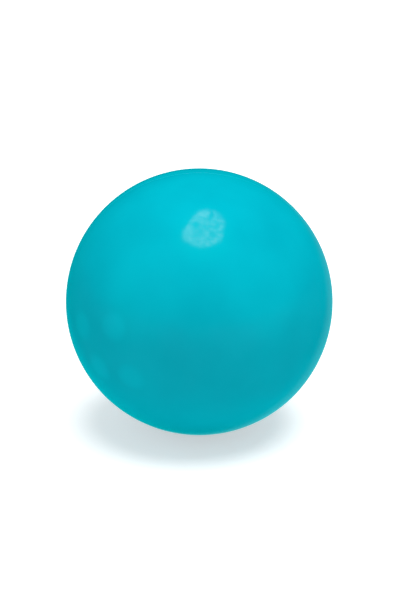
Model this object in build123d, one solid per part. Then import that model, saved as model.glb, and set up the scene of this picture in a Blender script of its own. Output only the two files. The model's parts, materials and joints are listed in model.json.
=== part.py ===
"""Croquet ball: a hard coloured cover moulded as two cups, bonded over a cork and rubber core.

Units are millimetres. The origin is the centre of the ball and +Z is up. The moulding axis, through
the poles of both cups, is Y. The cups meet on the plane y = 0 in a stepped lap: a tapered tongue on
the front cup (y below 0) enters a rebate in the rear cup (y above 0). Adhesive fills the lap and
lies between the core and the cups.
"""

import os
from math import radians, sqrt, tan

from build123d import *

# Driving dimensions
BALL_DIAMETER = 92.1  # 3 5/8 in, the size that the laws of the game set
COVER_THICKNESS = 6.0
CORE_BOND_THICKNESS = 0.25
SEAM_BOND_THICKNESS = 0.2
TONGUE_LENGTH = 3.5
TONGUE_TAPER_DEG = 3.0
TONGUE_SHARE_OF_WALL = 0.5
LIP_CHAMFER = 0.12  # the break on each cup's outer lip, which makes the fine line round the ball
SEAM_BOND_RECESS = 0.04  # how far the trimmed adhesive sits below the ball's surface
CORE_LAND_WIDTH = 2.4  # the ground band where the core's two mould halves met
CORE_LAND_DEPTH = 0.08

# Worked out from them
BALL_RADIUS = BALL_DIAMETER / 2
CAVITY_RADIUS = BALL_RADIUS - COVER_THICKNESS
CORE_RADIUS = CAVITY_RADIUS - CORE_BOND_THICKNESS
HALF_BOND = SEAM_BOND_THICKNESS / 2
LAP_RADIUS = CAVITY_RADIUS + TONGUE_SHARE_OF_WALL * COVER_THICKNESS

PARTS_FOLDER = "parts"


def circle_x(radius, y):
    """Distance from the moulding axis of the point at height y on a circle about the centre."""
    return sqrt(radius**2 - y**2)


def tongue_x(y):
    """Distance from the moulding axis of the tongue's tapered outer face at height y."""
    return LAP_RADIUS - (y + HALF_BOND) * tan(radians(TONGUE_TAPER_DEG))


def ball_of(radius):
    """Solid ball about the origin, turned about the moulding axis."""
    with BuildPart() as ball:
        with BuildSketch(Plane.XY):
            with BuildLine():
                ThreePointArc((0, -radius), (radius, 0), (0, radius))
                Line((0, radius), (0, -radius))
            make_face()
        revolve(axis=Axis.Y)
    return ball.part


def turned(*edges):
    """Solid of revolution about the moulding axis, from the closed profile that the edges make."""
    with BuildPart() as body:
        with BuildSketch(Plane.XY):
            with BuildLine():
                for edge in edges:
                    add(edge)
            make_face()
        revolve(axis=Axis.Y)
    return body.part


def arc_about_centre(radius, y_from, y_to):
    """Arc of a circle about the centre, between two heights on the side where x is positive."""
    y_middle = (y_from + y_to) / 2
    return ThreePointArc(
        (circle_x(radius, y_from), y_from),
        (circle_x(radius, y_middle), y_middle),
        (circle_x(radius, y_to), y_to),
    )


def make_front_cup():
    """Front half of the cover, with the tongue that enters the rear cup."""
    lip_y = -HALF_BOND
    break_y = lip_y - LIP_CHAMFER
    lip_x = circle_x(BALL_RADIUS, break_y) - LIP_CHAMFER
    outer = arc_about_centre(BALL_RADIUS, -BALL_RADIUS, break_y)
    cavity = arc_about_centre(CAVITY_RADIUS, TONGUE_LENGTH, -CAVITY_RADIUS)
    rim = Polyline(
        outer @ 1,
        (lip_x, lip_y),
        (tongue_x(lip_y), lip_y),
        (tongue_x(TONGUE_LENGTH), TONGUE_LENGTH),
        cavity @ 0,
    )
    return turned(outer, rim, cavity, Line(cavity @ 1, outer @ 0))


def make_rear_cup():
    """Rear half of the cover, with the rebate that takes the tongue."""
    lip_y = HALF_BOND
    break_y = lip_y + LIP_CHAMFER
    step_y = TONGUE_LENGTH + SEAM_BOND_THICKNESS
    lip_x = circle_x(BALL_RADIUS, break_y) - LIP_CHAMFER
    outer = arc_about_centre(BALL_RADIUS, BALL_RADIUS, break_y)
    cavity = arc_about_centre(CAVITY_RADIUS, step_y, CAVITY_RADIUS)
    rim = Polyline(
        outer @ 1,
        (lip_x, lip_y),
        (tongue_x(lip_y) + SEAM_BOND_THICKNESS, lip_y),
        (tongue_x(step_y) + SEAM_BOND_THICKNESS, step_y),
        cavity @ 0,
    )
    return turned(outer, rim, cavity, Line(cavity @ 1, outer @ 0))


def make_seam_bond():
    """Adhesive in the lap, from the cavity out to the broken lips, where it is trimmed nearly flush."""
    lip_y = HALF_BOND
    break_y = lip_y + LIP_CHAMFER
    step_y = TONGUE_LENGTH + SEAM_BOND_THICKNESS
    lip_x = circle_x(BALL_RADIUS, break_y) - LIP_CHAMFER
    face_radius = BALL_RADIUS - SEAM_BOND_RECESS
    face_y = lip_y + LIP_CHAMFER - SEAM_BOND_RECESS
    face = arc_about_centre(face_radius, -face_y, face_y)
    tip = arc_about_centre(CAVITY_RADIUS, step_y, TONGUE_LENGTH)
    rear_side = Polyline(
        face @ 1,
        (lip_x, lip_y),
        (tongue_x(lip_y) + SEAM_BOND_THICKNESS, lip_y),
        (tongue_x(step_y) + SEAM_BOND_THICKNESS, step_y),
        tip @ 0,
    )
    front_side = Polyline(
        tip @ 1,
        (tongue_x(TONGUE_LENGTH), TONGUE_LENGTH),
        (tongue_x(-lip_y), -lip_y),
        (lip_x, -lip_y),
        face @ 0,
    )
    return turned(face, rear_side, tip, front_side)


def make_core():
    """Moulded cork and rubber core, with a shallow ground land where its mould halves met."""
    half_land = CORE_LAND_WIDTH / 2
    land_x = circle_x(CORE_RADIUS, half_land) - CORE_LAND_DEPTH
    lower = arc_about_centre(CORE_RADIUS, -CORE_RADIUS, -half_land)
    upper = arc_about_centre(CORE_RADIUS, half_land, CORE_RADIUS)
    land = Polyline(lower @ 1, (land_x, -half_land), (land_x, half_land), upper @ 0)
    return turned(lower, land, upper, Line(upper @ 1, lower @ 0))


def make_core_bond(core):
    """Adhesive layer that fills the space between the core and the cups."""
    return ball_of(CAVITY_RADIUS) - core


def main():
    core = make_core()
    nodes = {
        "core": core,
        "core_bond": make_core_bond(core),
        "cover_front_cup": make_front_cup(),
        "cover_rear_cup": make_rear_cup(),
        "seam_bond": make_seam_bond(),
    }
    os.makedirs(PARTS_FOLDER, exist_ok=True)
    for name, shape in nodes.items():
        shape.label = name
        export_step(shape, os.path.join(PARTS_FOLDER, name + ".step"))


if __name__ == "__main__":
    main()
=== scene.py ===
"""Looks for the croquet ball: polished two-cup cover, trimmed seam, adhesive layer and cork core.

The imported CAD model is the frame. Lengths here are metres and the origin is the ball's centre.
Every piece is a body of revolution about the moulding axis Y, meshed with quads only: each round
end is a square grid bent onto the sphere, so there is no pole where the faces pinch.
"""

import json
import math

import bmesh
import bpy
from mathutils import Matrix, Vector, noise

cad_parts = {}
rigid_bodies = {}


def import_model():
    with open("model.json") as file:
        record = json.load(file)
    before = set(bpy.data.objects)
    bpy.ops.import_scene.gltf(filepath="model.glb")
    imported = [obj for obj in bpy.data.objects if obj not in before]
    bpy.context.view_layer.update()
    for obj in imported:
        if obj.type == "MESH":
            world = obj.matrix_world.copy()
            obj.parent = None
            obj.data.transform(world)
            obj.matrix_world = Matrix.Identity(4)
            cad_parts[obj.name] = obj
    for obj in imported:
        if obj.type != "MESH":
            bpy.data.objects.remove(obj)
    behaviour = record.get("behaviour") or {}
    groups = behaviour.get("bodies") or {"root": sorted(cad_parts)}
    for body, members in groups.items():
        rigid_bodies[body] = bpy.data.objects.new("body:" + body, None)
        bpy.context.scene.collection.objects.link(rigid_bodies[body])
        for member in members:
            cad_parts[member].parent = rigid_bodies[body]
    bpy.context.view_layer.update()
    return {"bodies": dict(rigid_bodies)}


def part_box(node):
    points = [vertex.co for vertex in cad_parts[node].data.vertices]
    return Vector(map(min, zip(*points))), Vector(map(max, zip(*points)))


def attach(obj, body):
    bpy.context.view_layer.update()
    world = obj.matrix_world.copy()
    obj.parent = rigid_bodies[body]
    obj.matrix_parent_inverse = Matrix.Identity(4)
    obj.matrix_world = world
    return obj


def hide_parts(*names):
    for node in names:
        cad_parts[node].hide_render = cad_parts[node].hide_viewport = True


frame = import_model()
BODY = next(iter(frame["bodies"]))
MM = 0.001

# Sizes read from the frame
BALL_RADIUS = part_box("cover_front_cup")[1].z
CAVITY_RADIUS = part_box("core_bond")[1].z
CORE_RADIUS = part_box("core")[1].y
TONGUE_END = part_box("cover_front_cup")[1].y
REBATE_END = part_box("seam_bond")[1].y
SEAM_FACE_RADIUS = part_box("seam_bond")[1].z

# Sizes of the lap, the lips and the core's land, as the CAD model has them
BOND = REBATE_END - TONGUE_END
LAP_RADIUS = (BALL_RADIUS + CAVITY_RADIUS) / 2
TAPER_DEGREES = 3.0
TAPER = math.tan(math.radians(TAPER_DEGREES))
LIP_ROUND = 0.12 * MM
LIP_HOLD = 0.08 * MM  # narrow band beside the round, so that the round's shading doesn't spread
LAND_HALF_WIDTH = 1.2 * MM
LAND_DEPTH = 0.08 * MM
LAND_RADIUS = math.sqrt(CORE_RADIUS**2 - LAND_HALF_WIDTH**2) - LAND_DEPTH

# Moulded surface: long shallow waves that the polishing leaves in the cover, sunk so that their
# crests stay inside the true ball
WAVE_LENGTH = 9.0 * MM
WAVE_DEPTH = 0.012 * MM
WAVE_SMOOTHNESS = 0.6
WAVE_OCTAVES = 3
WAVE_OCTAVE_STEP = 2.0  # how much shorter each octave is than the one before
WAVE_SINK = 0.6

# Granules of cork on the core, and the gaps between them
GRAIN_SIZE = 2.6 * MM
GRAIN_DEPTH = 0.12 * MM
GAP_STEEPNESS = 3.0
GRANULE_WARP = 1.1 * MM
GRANULE_WARPS_PER_METRE = 700.0

# Faint paler spots painted into the front cup's colour as painted highlights, standing in for
# reflections: azimuth from the camera's side and elevation, degrees
PAINTED_HIGHLIGHTS = ((-57.0, 1.0), (-37.0, 6.0), (-48.0, -15.0), (-30.0, -15.0))
# half width of each painted highlight, degrees
PAINTED_HIGHLIGHT_HALF_WIDTH = 7.5

# Grid of each cap, and steps round the lips and across the seam's face
COVER_GRID = 128
CORE_GRID = 112
LIP_STEPS = 5
SEAM_STEPS = 4
SHARP_ANGLE = 35.0

# Colours, linear
TURQUOISE = (0.0, 0.433, 0.545)
TURQUOISE_DEEP = (0.0, 0.403, 0.515)
# paler turquoise of the painted highlights, which stand in for reflections
TURQUOISE_PAINTED_HIGHLIGHT = (0.0, 0.47, 0.585)
SEAM_TURQUOISE = (0.0, 0.33, 0.42)
AMBER = (0.50, 0.30, 0.09)
AMBER_LIGHT = (0.75, 0.45, 0.135)
CORK_LIGHT = (0.42, 0.24, 0.11)
CORK_DARK = (0.13, 0.065, 0.03)
RUBBER_DARK = (0.035, 0.028, 0.024)
PORE_DARKNESS = 0.6  # share of the dark cork colour in a pore
WHITE = (1.0, 1.0, 1.0)
MIRRORED_TURQUOISE = (0.0, 1.0, 1.03)
MIRRORED_GREEN = (0.0, 1.0, 0.4)
UMBRELLA_WHITE = (1.0, 1.0, 0.88)
PAPER_GREY = (0.80, 0.80, 0.80)
PAPER_PALE = (0.83, 0.83, 0.83)

# Grain of the materials: features in a metre, octaves of finer detail and, for the sharper ones, how
# strong that detail is
CLOUDS = (55.0, 3.0)
PEEL = (650.0, 2.0)
POLISH_MARKS = (1500.0, 4.0, 0.7)
WEAR = (120.0, 4.0)
SEAM_CUTS = (1800.0, 3.0)
GLUE_STREAKS = (90.0, 4.0)
CORK_PORES = (2200.0, 4.0, 0.7)
PAPER_FIBRES = (60.0, 3.0)
BUBBLES_PER_METRE = 900.0

# Where on its noise, which runs from 0 to 1, each effect starts and is full
CLOUD_RISE = (0.35, 0.65)
POLISH_RISE = (0.5, 0.8)
WEAR_RISE = (0.3, 0.7)
PORE_RISE = (0.55, 0.75)
CREASE_RISE = (0.35, 0.65)

# In cells of the pattern: where the dark gap between two granules fades out, and a bubble's reach
GAP_FADE = (0.02, 0.12)
BUBBLE_REACH = 0.25

# Roughness, from the smoothest to the dullest place
COVER_ROUGHNESS = (0.075, 0.105)
MARK_ROUGHNESS = (0.0, 0.03)
SEAM_ROUGHNESS = (0.35, 0.55)
GLUE_ROUGHNESS = (0.25, 0.45)
CORK_ROUGHNESS = (0.7, 0.95)

# Fine relief: its height and how strongly it shades
PEEL_RELIEF = (0.02 * MM, 0.4)
SEAM_CUT_RELIEF = (0.01 * MM, 0.5)
BUBBLE_RELIEF = (0.03 * MM, 0.6)
PORE_RELIEF = (0.08 * MM, 0.8)

# Studio. Azimuth 0 is the camera's side and grows to the right; both angles are degrees
CAMERA_ELEVATION = math.radians(20.0)
CAMERA_LENS_MM = 85.0
CAMERA_DISTANCE = 0.4915
CAMERA_NEAR = 10.0 * MM
AIM_RIGHT = 0.43 * MM
AIM_UP = 0.41 * MM
SKY_STRENGTH = 0.32
KEY = (50.0, 80.0, 45.0, 3.0)  # azimuth, elevation, width, strength
FILL = (-80.0, 15.0, 60.0, 0.2)

# Soft lamps that only reflections see: azimuth, elevation, half width in degrees, strength, colour
SOFT_LAMPS = (
    (-50.0, 20.0, 50.0, 1.1, MIRRORED_TURQUOISE),
    (60.0, 20.0, 45.0, 0.9, MIRRORED_TURQUOISE),
    (220.0, 70.0, 60.0, 0.3, MIRRORED_TURQUOISE),
    (30.0, 70.0, 55.0, 0.7, MIRRORED_TURQUOISE),
    (180.0, -55.0, 55.0, 0.25, MIRRORED_TURQUOISE),
    (10.0, 75.0, 30.0, 0.65, MIRRORED_GREEN),
    (160.0, -25.0, 30.0, 0.08, WHITE),
)
MIRRORED_SURROUND = (0.0, 0.36, 0.39)

# Umbrella overhead, in the x and y of the direction to it. Its outline swells towards its corners:
# number of corners, share of the reach, and degrees to the first corner
UMBRELLA_CENTRE = (0.065, -0.10)
UMBRELLA_REACH = 0.265
UMBRELLA_SWELLS = ((2, 0.18, 70.0), (3, 0.10, -40.0))
UMBRELLA_EDGE = (0.86, 1.16)  # shares of the reach where its light starts and ends to fade
UMBRELLA_HEM = (0.45, 0.92)  # shares of the reach between which it brightens to its hem
UMBRELLA_HEM_LIGHT = (0.90, 1.40)
UMBRELLA_STRENGTH = 1.2

# Its unevenness: how many bends and creases there are in a unit of direction, how far the bends
# push the outline about, and how dark and how bright the creases are
UMBRELLA_BENDS = 5.0
UMBRELLA_BEND_PUSH = 0.05
UMBRELLA_CREASES = (20.0, 1.0)  # the second is the octaves of finer detail in them
UMBRELLA_CREASE_LIGHT = (0.40, 1.60)

# Shadows of its frame: centre, half size and the share of light that is left in the middle
UMBRELLA_SHADOWS = (
    ((-0.045, -0.045), (0.065, 0.075), 0.0),
    ((0.135, 0.160), (0.038, 0.140), 0.0),
    ((0.220, -0.020), (0.040, 0.090), 0.1),
    ((0.240, 0.140), (0.110, 0.120), 0.4),
    ((0.020, -0.150), (0.070, 0.080), 0.60),
    ((0.170, -0.190), (0.045, 0.110), 0.60),
    ((0.300, -0.130), (0.110, 0.160), 0.65),
)
SHADOW_EDGE = (0.1, 1.1)  # shares of the half size between which a shadow fades out

FLOOR_HALF = 20.0
FLOOR_GLOW = 0.04
FLOOR_GLOW_SEEN = 0.52  # to the camera


def direction(azimuth, elevation):
    """Unit vector towards a place in the studio, from angles in degrees."""
    a, e = math.radians(azimuth), math.radians(elevation)
    return Vector((math.sin(a) * math.cos(e), -math.cos(a) * math.cos(e), math.sin(e)))


# ---------------------------------------------------------------- mesh


def square_to_disc(u, v):
    """Maps a point of the square -1..1 to (distance from the centre 0..1, angle) on a disc."""
    if u == 0 and v == 0:
        return 0.0, 0.0
    if abs(u) >= abs(v):
        reach, angle = abs(u), math.pi / 4 * (v / u)
        return reach, angle if u > 0 else angle + math.pi
    reach, angle = abs(v), math.pi / 2 - math.pi / 4 * (u / v)
    return reach, angle if v > 0 else angle + math.pi


def turned_point(across, along, angle):
    """Point at a distance across from the moulding axis, and at along on it."""
    return Vector((across * math.cos(angle), along, across * math.sin(angle)))


class Turned:
    """Quad mesh of revolution about Y, made of grid caps and the rings that join them."""

    def __init__(self, grid):
        self.grid = grid
        self.points = []
        self.faces = []

    def cap(self, radius, edge_along, side):
        """Sphere cap from the pole on that side (+1 or -1) to the circle at edge_along. Returns the
        ring at its edge."""
        n = self.grid
        reach_angle = math.acos(max(-1.0, min(1.0, side * edge_along / radius)))
        first = len(self.points)
        for j in range(n + 1):
            for i in range(n + 1):
                reach, angle = square_to_disc(2 * i / n - 1, 2 * j / n - 1)
                polar = reach * reach_angle
                along = side * radius * math.cos(polar)
                self.points.append(turned_point(radius * math.sin(polar), along, angle))

        def at(i, j):
            return first + j * (n + 1) + i

        for j in range(n):
            for i in range(n):
                self.faces.append((at(i, j), at(i + 1, j), at(i + 1, j + 1), at(i, j + 1)))
        ring = [at(n, j) for j in range(n)]
        ring += [at(n - i, n) for i in range(n)]
        ring += [at(0, n - j) for j in range(n)]
        ring += [at(i, 0) for i in range(n)]
        return ring

    def ring(self, across, along):
        """Circle of points at the same angles as a cap's edge ring."""
        n = 4 * self.grid
        first = len(self.points)
        for k in range(n):
            angle = -math.pi / 4 + 2 * math.pi * k / n
            self.points.append(turned_point(across, along, angle))
        return list(range(first, first + n))

    def join(self, a, b):
        """Band of quads between two rings."""
        n = len(a)
        for k in range(n):
            m = (k + 1) % n
            self.faces.append((a[k], a[m], b[m], b[k]))

    def band(self, start, profile):
        """Bands from ring start through each (across, along) of profile. Returns the last ring."""
        last = start
        for across, along in profile:
            following = self.ring(across, along)
            self.join(last, following)
            last = following
        return last

    def build(self, name, move=None, hollow=0.0):
        """Mesh object, smooth except at real edges. move shifts each point, and hollow is a radius
        inside which faces look inwards, into the piece's cavity."""
        if move is not None:
            self.points = [move(p) for p in self.points]
        mesh = bpy.data.meshes.new(name)
        mesh.from_pydata([tuple(p) for p in self.points], [], self.faces)
        mesh.validate()
        turn_faces_out(mesh, hollow)
        mesh.shade_smooth()
        mesh.set_sharp_from_angle(angle=math.radians(SHARP_ANGLE))
        piece = bpy.data.objects.new(name, mesh)
        bpy.context.scene.collection.objects.link(piece)
        return piece


def turn_faces_out(mesh, hollow):
    """Turns every face to look away from the piece's material."""
    shape = bmesh.new()
    shape.from_mesh(mesh)
    bmesh.ops.recalc_face_normals(shape, faces=shape.faces)
    inner = [face for face in shape.faces if face.calc_center_median().length < hollow]
    bmesh.ops.reverse_faces(shape, faces=inner)
    shape.to_mesh(mesh)
    shape.free()


def on_sphere(radius, along):
    """(across, along) of the point of a circle about the ball's centre at that place on the axis."""
    return (math.sqrt(radius**2 - along**2), along)


def arc_points(radius, along_from, along_to, steps):
    """Points of a circle about the ball's centre, without the first."""
    return [
        on_sphere(radius, along_from + (along_to - along_from) * k / steps)
        for k in range(1, steps + 1)
    ]


def lap_across(along):
    """Distance from the axis of the tongue's tapered face."""
    return LAP_RADIUS - (along + BOND / 2) * TAPER


def rounded_lip(side):
    """Round from the ball's surface to the flat lip, on that side of the seam."""
    centre = BALL_RADIUS - LIP_ROUND
    out = [on_sphere(BALL_RADIUS, side * (BOND / 2 + LIP_ROUND))]
    for k in range(1, LIP_STEPS + 1):
        turn = math.pi / 2 * k / LIP_STEPS
        along = side * (BOND / 2 + LIP_ROUND * (1 - math.sin(turn)))
        out.append((centre + LIP_ROUND * math.cos(turn), along))
    return out


def wave(point):
    """Moves a point near the ball's surface in or out by the moulding waves."""
    if point.length < (BALL_RADIUS + LAP_RADIUS) / 2:
        return point
    depth = noise.fractal(point / WAVE_LENGTH, WAVE_SMOOTHNESS, WAVE_OCTAVE_STEP, WAVE_OCTAVES)
    return point + point.normalized() * (WAVE_DEPTH * (depth - WAVE_SINK))


def make_front_cup():
    """Front cup of the cover, with its tongue."""
    cup = Turned(COVER_GRID)
    start = -(BOND / 2 + LIP_ROUND + LIP_HOLD)
    outer = cup.cap(BALL_RADIUS, start, -1)
    rim = rounded_lip(-1)
    rim.append((lap_across(-BOND / 2), -BOND / 2))
    rim.append((lap_across(TONGUE_END), TONGUE_END))
    last = cup.band(outer, rim)
    inner = cup.cap(CAVITY_RADIUS, TONGUE_END, -1)
    cup.join(last, inner)
    return cup.build("cover_front", wave)


def make_rear_cup():
    """Rear cup of the cover, with its rebate."""
    cup = Turned(COVER_GRID)
    start = BOND / 2 + LIP_ROUND + LIP_HOLD
    outer = cup.cap(BALL_RADIUS, start, 1)
    rim = rounded_lip(1)
    rim.append((lap_across(BOND / 2) + BOND, BOND / 2))
    rim.append((lap_across(REBATE_END) + BOND, REBATE_END))
    last = cup.band(outer, rim)
    inner = cup.cap(CAVITY_RADIUS, REBATE_END, 1)
    cup.join(last, inner)
    return cup.build("cover_rear", wave)


def make_seam():
    """Adhesive in the lap, from its trimmed outer face to the cavity."""
    seam = Turned(COVER_GRID)
    first = seam.ring(*on_sphere(SEAM_FACE_RADIUS, -BOND / 2))
    profile = arc_points(SEAM_FACE_RADIUS, -BOND / 2, BOND / 2, SEAM_STEPS)
    profile.append((lap_across(BOND / 2) + BOND, BOND / 2))
    profile.append((lap_across(REBATE_END) + BOND, REBATE_END))
    profile.append(on_sphere(CAVITY_RADIUS, REBATE_END))
    profile.append(on_sphere(CAVITY_RADIUS, TONGUE_END))
    profile.append((lap_across(TONGUE_END), TONGUE_END))
    profile.append((lap_across(-BOND / 2), -BOND / 2))
    last = seam.band(first, profile)
    seam.join(last, first)
    return seam.build("seam_bead", wave)


def core_rings(body, radius, land_radius):
    """One closed ball with the flat land round it."""
    front = body.cap(radius, -LAND_HALF_WIDTH, -1)
    last = body.band(front, [(land_radius, -LAND_HALF_WIDTH), (land_radius, LAND_HALF_WIDTH)])
    rear = body.cap(radius, LAND_HALF_WIDTH, 1)
    body.join(last, rear)


def grain(point):
    """Sinks the gaps between the cork granules a little below the core's surface."""
    distances = noise.voronoi(point / GRAIN_SIZE)[0]
    gap = 1.0 - min(1.0, (distances[1] - distances[0]) * GAP_STEEPNESS)
    return point - point.normalized() * (GRAIN_DEPTH * gap * gap)


def make_core():
    """Core, with its granules and the land round it."""
    core = Turned(CORE_GRID)
    core_rings(core, CORE_RADIUS, LAND_RADIUS)
    return core.build("core_ball", grain)


def make_core_glue():
    """Adhesive layer, a closed shell between the cavity and the core."""
    glue = Turned(CORE_GRID)
    front = glue.cap(CAVITY_RADIUS, -LAND_HALF_WIDTH, -1)
    rear = glue.cap(CAVITY_RADIUS, LAND_HALF_WIDTH, 1)
    glue.join(glue.band(front, [(CAVITY_RADIUS, 0.0)]), rear)
    core_rings(glue, CORE_RADIUS, LAND_RADIUS)
    return glue.build("core_glue", hollow=(CAVITY_RADIUS + CORE_RADIUS) / 2)


# ---------------------------------------------------------------- materials


class Tree:
    """Short way to build a node tree."""

    def __init__(self, tree):
        self.tree = tree

    def add(self, kind, inputs=None, **settings):
        """New node of a kind, with its inputs fed and its settings made."""
        node = self.tree.nodes.new(kind)
        for key, value in settings.items():
            setattr(node, key, value)
        for key, value in (inputs or {}).items():
            self.feed(node.inputs[key], value)
        return node

    def feed(self, socket, value):
        """Gives an input a value, or links it where the value is another node's output."""
        if isinstance(value, bpy.types.NodeSocket):
            self.tree.links.new(value, socket)
        elif isinstance(value, tuple) and len(value) == 3 and socket.type == "RGBA":
            socket.default_value = (*value, 1.0)
        else:
            socket.default_value = value

    def place(self):
        """Place on the piece, in metres from the ball's centre."""
        return self.add("ShaderNodeTexCoord").outputs["Object"]

    def noise(self, scale, detail, roughness=0.5, place=None):
        """Smooth noise from 0 to 1, with that many features in a unit of the place."""
        node = self.add(
            "ShaderNodeTexNoise",
            {
                "Vector": place or self.place(),
                "Scale": scale,
                "Detail": detail,
                "Roughness": roughness,
            },
        )
        return node.outputs["Fac"]

    def span(self, value, low, high, from_low=0.0, from_high=1.0, curve="LINEAR"):
        """Maps a value in from_low..from_high to low..high, and holds it at the ends."""
        node = self.add(
            "ShaderNodeMapRange",
            {
                "Value": value,
                "From Min": from_low,
                "From Max": from_high,
                "To Min": low,
                "To Max": high,
            },
            interpolation_type=curve,
        )
        return node.outputs["Result"]

    def maths(self, operation, a, b=0.0, c=0.0):
        """One step of arithmetic on single values."""
        node = self.add("ShaderNodeMath", {0: a, 1: b, 2: c}, operation=operation)
        return node.outputs["Value"]

    def vector(self, operation, a, b=(0.0, 0.0, 0.0), output="Vector"):
        """One step of arithmetic on vectors."""
        node = self.add("ShaderNodeVectorMath", {0: a, 1: b}, operation=operation)
        return node.outputs[output]

    def warped(self, place, scale, amount):
        """The place, pushed about by smooth noise, by up to about half the amount along each axis."""
        push = self.add("ShaderNodeTexNoise", {"Vector": place, "Scale": scale, "Detail": 1.0})
        middle = (0.5, 0.5, 0.5)
        centred = self.vector("SUBTRACT", push.outputs["Color"], middle)
        return self.vector("ADD", place, self.vector("MULTIPLY", centred, (amount, amount, amount)))

    def mix(self, share, a, b, blend="MIX"):
        """Colour a with a share of colour b blended in."""
        node = self.add("ShaderNodeMix", data_type="RGBA", blend_type=blend)
        colours = [socket for socket in node.inputs if socket.type == "RGBA"]
        self.feed(node.inputs["Factor"], share)
        self.feed(colours[0], a)
        self.feed(colours[1], b)
        return next(socket for socket in node.outputs if socket.type == "RGBA")

    def bump(self, pattern, height, strength):
        """Shading of a relief as high as the height where the pattern is 1."""
        node = self.add(
            "ShaderNodeBump",
            {"Height": pattern, "Distance": height, "Strength": strength},
        )
        return node.outputs["Normal"]


class Surface(Tree):
    """One material's node tree, around its Principled shader."""

    def __init__(self, name):
        self.material = bpy.data.materials.new(name)
        self.material.use_nodes = True
        super().__init__(self.material.node_tree)
        self.shader = self.tree.nodes["Principled BSDF"]

    def set(self, **inputs):
        """Feeds the shader's inputs, named with _ for each space."""
        for key, value in inputs.items():
            self.feed(self.shader.inputs[key.replace("_", " ")], value)


def painted_highlights(n):
    """0 on the cover, rising to 1 at the middle of each painted highlight: a faint paler spot that
    stands in for a reflection.
    """
    outward = n.vector("NORMALIZE", n.place())
    total = 0.0
    edge = math.cos(math.radians(PAINTED_HIGHLIGHT_HALF_WIDTH))
    for highlight in PAINTED_HIGHLIGHTS:
        facing = n.vector("DOT_PRODUCT", outward, tuple(direction(*highlight)), "Value")
        total = n.maths("ADD", total, n.span(facing, 0.0, 1.0, edge, 1.0, "SMOOTHSTEP"))
    return total


def cover_plastic():
    """Turquoise plastic, polished: pigment clouds, orange peel, the polisher's fine marks and faint
    painted highlights in its colour.
    """
    n = Surface("cover_plastic")
    clouds = n.span(n.noise(*CLOUDS), 0.0, 1.0, *CLOUD_RISE)
    pigment = n.mix(clouds, TURQUOISE_DEEP, TURQUOISE)
    peel = n.noise(*PEEL)
    marks = n.span(n.noise(*POLISH_MARKS), *MARK_ROUGHNESS, *POLISH_RISE)
    wear = n.span(n.noise(*WEAR), *COVER_ROUGHNESS, *WEAR_RISE)
    n.set(
        # painted highlights: paler spots in the colour that stand in for reflections
        Base_Color=n.mix(painted_highlights(n), pigment, TURQUOISE_PAINTED_HIGHLIGHT),
        Roughness=n.maths("ADD", wear, marks),
        Normal=n.bump(peel, *PEEL_RELIEF),
        IOR=1.5,
    )
    return n.material


def seam_adhesive():
    """Colour-matched adhesive, cut back and buffed with the cover."""
    n = Surface("seam_adhesive")
    cuts = n.noise(*SEAM_CUTS)
    n.set(
        Base_Color=n.mix(cuts, SEAM_TURQUOISE, TURQUOISE_DEEP),
        Roughness=n.span(cuts, *SEAM_ROUGHNESS),
        Normal=n.bump(cuts, *SEAM_CUT_RELIEF),
    )
    return n.material


def core_adhesive():
    """Cured amber adhesive with fine trapped bubbles."""
    n = Surface("core_adhesive")
    streaks = n.noise(*GLUE_STREAKS)
    bubbles = n.add("ShaderNodeTexVoronoi", {"Vector": n.place(), "Scale": BUBBLES_PER_METRE})
    bubble = n.span(bubbles.outputs["Distance"], 1.0, 0.0, 0.0, BUBBLE_REACH)
    n.set(
        Base_Color=n.mix(streaks, AMBER, AMBER_LIGHT),
        Roughness=n.span(streaks, *GLUE_ROUGHNESS),
        Normal=n.bump(bubble, *BUBBLE_RELIEF),
    )
    return n.material


def cork_rubber():
    """Granules of cork in dark rubber, as they come out of the mould."""
    n = Surface("cork_rubber")
    warped = n.warped(n.place(), GRANULE_WARPS_PER_METRE, GRANULE_WARP)
    granules = {"Vector": warped, "Scale": 1.0 / GRAIN_SIZE}
    cells = n.add("ShaderNodeTexVoronoi", granules)
    edges = n.add("ShaderNodeTexVoronoi", granules, feature="DISTANCE_TO_EDGE")
    tone = n.add("ShaderNodeSeparateColor", {"Color": cells.outputs["Color"]}).outputs["Red"]
    pores = n.noise(*CORK_PORES)
    cork = n.mix(tone, CORK_DARK, CORK_LIGHT)
    pitted = n.mix(n.span(pores, 0.0, PORE_DARKNESS, *PORE_RISE), cork, CORK_DARK)
    gap = n.span(edges.outputs["Distance"], 1.0, 0.0, *GAP_FADE)
    n.set(
        Base_Color=n.mix(gap, pitted, RUBBER_DARK),
        Roughness=n.span(pores, *CORK_ROUGHNESS),
        Normal=n.bump(pores, *PORE_RELIEF),
        Specular_IOR_Level=0.3,
    )
    return n.material


def dress(piece, material, slot_name, *stands_for):
    """Gives a piece its material, hides the CAD nodes it stands for, and puts it on the body;
    slot_name is not used.
    """
    piece.data.materials.append(material)
    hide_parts(*stands_for)
    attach(piece, BODY)


# ---------------------------------------------------------------- studio


def make_floor():
    """Plain pale floor, which glows a little so that it stays nearly white to the camera."""
    n = Surface("studio_floor")
    paper = n.noise(*PAPER_FIBRES)
    seen = n.add("ShaderNodeLightPath").outputs["Is Camera Ray"]
    n.set(
        Base_Color=n.mix(paper, PAPER_GREY, PAPER_PALE),
        Roughness=0.9,
        Specular_IOR_Level=0.0,
        Emission_Color=WHITE,
        Emission_Strength=n.span(seen, FLOOR_GLOW, FLOOR_GLOW_SEEN),
    )
    mesh = bpy.data.meshes.new("studio_floor")
    corners = [(-1, -1), (1, -1), (1, 1), (-1, 1)]
    points = [(x * FLOOR_HALF, y * FLOOR_HALF, -BALL_RADIUS) for x, y in corners]
    mesh.from_pydata(points, [], [(0, 1, 2, 3)])
    mesh.materials.append(n.material)
    floor = bpy.data.objects.new("studio_floor", mesh)
    floor.visible_glossy = False
    bpy.context.scene.collection.objects.link(floor)


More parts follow.
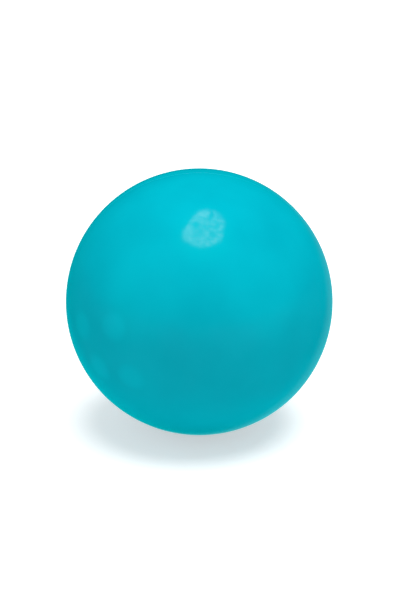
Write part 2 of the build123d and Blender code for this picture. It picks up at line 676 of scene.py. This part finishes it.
def soft_lamp(n, ray, azimuth, elevation, half_width, strength, colour):
    """Round lamp with a soft edge, in the surround that reflections see."""
    towards = tuple(direction(azimuth, elevation))
    facing = n.vector("DOT_PRODUCT", ray, towards, "Value")
    edge = math.cos(math.radians(half_width))
    glow = n.span(facing, 0.0, strength, edge, 1.0, "SMOOTHERSTEP")
    return n.mix(1.0, colour, glow, "MULTIPLY")


def outline_reach(n, offset):
    """Reach of the umbrella's outline, as a share of its mean, on the side that offset points to."""
    parts = n.add("ShaderNodeSeparateXYZ", {0: offset})
    angle = n.maths("ARCTAN2", parts.outputs["Y"], parts.outputs["X"])
    reach = 1.0
    for corners, share, first in UMBRELLA_SWELLS:
        turn = n.maths("SUBTRACT", angle, math.radians(first))
        swell = n.maths("COSINE", n.maths("MULTIPLY", turn, corners))
        reach = n.maths("MULTIPLY_ADD", swell, share, reach)
    return reach


def frame_shadow(n, ray, centre, half_size, light_left):
    """Soft oval shadow on the umbrella's face: the share of light that is left, and 1 around it."""
    offset = n.vector("SUBTRACT", ray, (*centre, 0.0))
    scaled = n.vector("MULTIPLY", offset, (1 / half_size[0], 1 / half_size[1], 0.0))
    away = n.vector("LENGTH", scaled, output="Value")
    return n.span(away, light_left, 1.0, *SHADOW_EDGE, "SMOOTHSTEP")


def overhead_lamp(n, ray):
    """Tilted umbrella overhead: a creased, three-cornered face with a brighter hem and the shadows
    of its frame."""
    offset = n.warped(ray, UMBRELLA_BENDS, UMBRELLA_BEND_PUSH)
    offset = n.vector("SUBTRACT", offset, (*UMBRELLA_CENTRE, 0.0))
    offset = n.vector("MULTIPLY", offset, (1 / UMBRELLA_REACH, 1 / UMBRELLA_REACH, 0.0))
    reach = n.maths("DIVIDE", n.vector("LENGTH", offset, output="Value"), outline_reach(n, offset))
    glow = n.span(reach, 1.0, 0.0, *UMBRELLA_EDGE, "SMOOTHSTEP")
    hem = n.span(reach, *UMBRELLA_HEM_LIGHT, *UMBRELLA_HEM, "SMOOTHSTEP")
    creases = n.noise(*UMBRELLA_CREASES, place=ray)
    creases = n.span(creases, *UMBRELLA_CREASE_LIGHT, *CREASE_RISE)
    glow = n.maths("MULTIPLY", n.maths("MULTIPLY", glow, hem), creases)
    for shadow in UMBRELLA_SHADOWS:
        glow = n.maths("MULTIPLY", glow, frame_shadow(n, ray, *shadow))
    above = n.maths("GREATER_THAN", n.add("ShaderNodeSeparateXYZ", {0: ray}).outputs["Z"], 0.0)
    glow = n.maths("MULTIPLY", n.maths("MULTIPLY", glow, above), UMBRELLA_STRENGTH)
    return n.mix(1.0, UMBRELLA_WHITE, glow, "MULTIPLY")


def make_world():
    """White studio. Reflections see only a turquoise surround and its soft lamps, so the cover keeps
    its full colour."""
    world = bpy.data.worlds.new("studio")
    world.use_nodes = True
    world.cycles.sampling_method = "NONE"
    n = Tree(world.node_tree)
    out = n.tree.nodes["World Output"]
    plain = n.tree.nodes["Background"]
    ray = n.add("ShaderNodeTexCoord").outputs["Generated"]
    path = n.add("ShaderNodeLightPath")
    n.feed(plain.inputs["Color"], WHITE)
    n.feed(plain.inputs["Strength"], n.span(path.outputs["Is Camera Ray"], SKY_STRENGTH, 1.0))
    mirrored = n.mix(1.0, MIRRORED_SURROUND, overhead_lamp(n, ray), "ADD")
    for lamp in SOFT_LAMPS:
        mirrored = n.mix(1.0, mirrored, soft_lamp(n, ray, *lamp), "ADD")
    lamps = n.add("ShaderNodeBackground", {"Color": mirrored})
    both = n.add("ShaderNodeMixShader")
    n.feed(both.inputs["Fac"], path.outputs["Is Glossy Ray"])
    n.feed(both.inputs[1], plain.outputs["Background"])
    n.feed(both.inputs[2], lamps.outputs["Background"])
    n.feed(out.inputs["Surface"], both.outputs["Shader"])
    bpy.context.scene.world = world


def broad_light(name, azimuth, elevation, angle, strength):
    """Distant light as wide as the angle, which lights the ball but isn't mirrored in it."""
    data = bpy.data.lights.new(name, "SUN")
    data.energy = strength
    data.angle = math.radians(angle)
    data.cycles.use_multiple_importance_sampling = False
    light = bpy.data.objects.new(name, data)
    light.rotation_mode = "QUATERNION"
    light.rotation_quaternion = direction(azimuth, elevation).to_track_quat("Z", "Y")
    light.visible_glossy = False
    bpy.context.scene.collection.objects.link(light)


def make_camera():
    """Camera in front of the ball and a little above it."""
    data = bpy.data.cameras.new("camera")
    data.lens = CAMERA_LENS_MM
    camera = bpy.data.objects.new("camera", data)
    back = Vector((0.0, -math.cos(CAMERA_ELEVATION), math.sin(CAMERA_ELEVATION)))
    up = Vector((0.0, math.sin(CAMERA_ELEVATION), math.cos(CAMERA_ELEVATION)))
    right = Vector((1.0, 0.0, 0.0))
    camera.location = back * CAMERA_DISTANCE + right * AIM_RIGHT + up * AIM_UP
    camera.rotation_mode = "QUATERNION"
    camera.rotation_quaternion = (-back).to_track_quat("-Z", "Y")
    data.clip_start = CAMERA_NEAR
    bpy.context.scene.collection.objects.link(camera)
    bpy.context.scene.camera = camera


cover = cover_plastic()
dress(make_front_cup(), cover, "cover_plastic", "cover_front_cup")
dress(make_rear_cup(), cover, "cover_plastic", "cover_rear_cup")
dress(make_seam(), seam_adhesive(), "seam_adhesive", "seam_bond")
dress(make_core_glue(), core_adhesive(), "core_adhesive", "core_bond")
dress(make_core(), cork_rubber(), "cork_rubber", "core")
make_floor()
make_world()
broad_light("key", *KEY)
broad_light("fill", *FILL)
make_camera()
bpy.context.scene.view_settings.view_transform = "Standard"
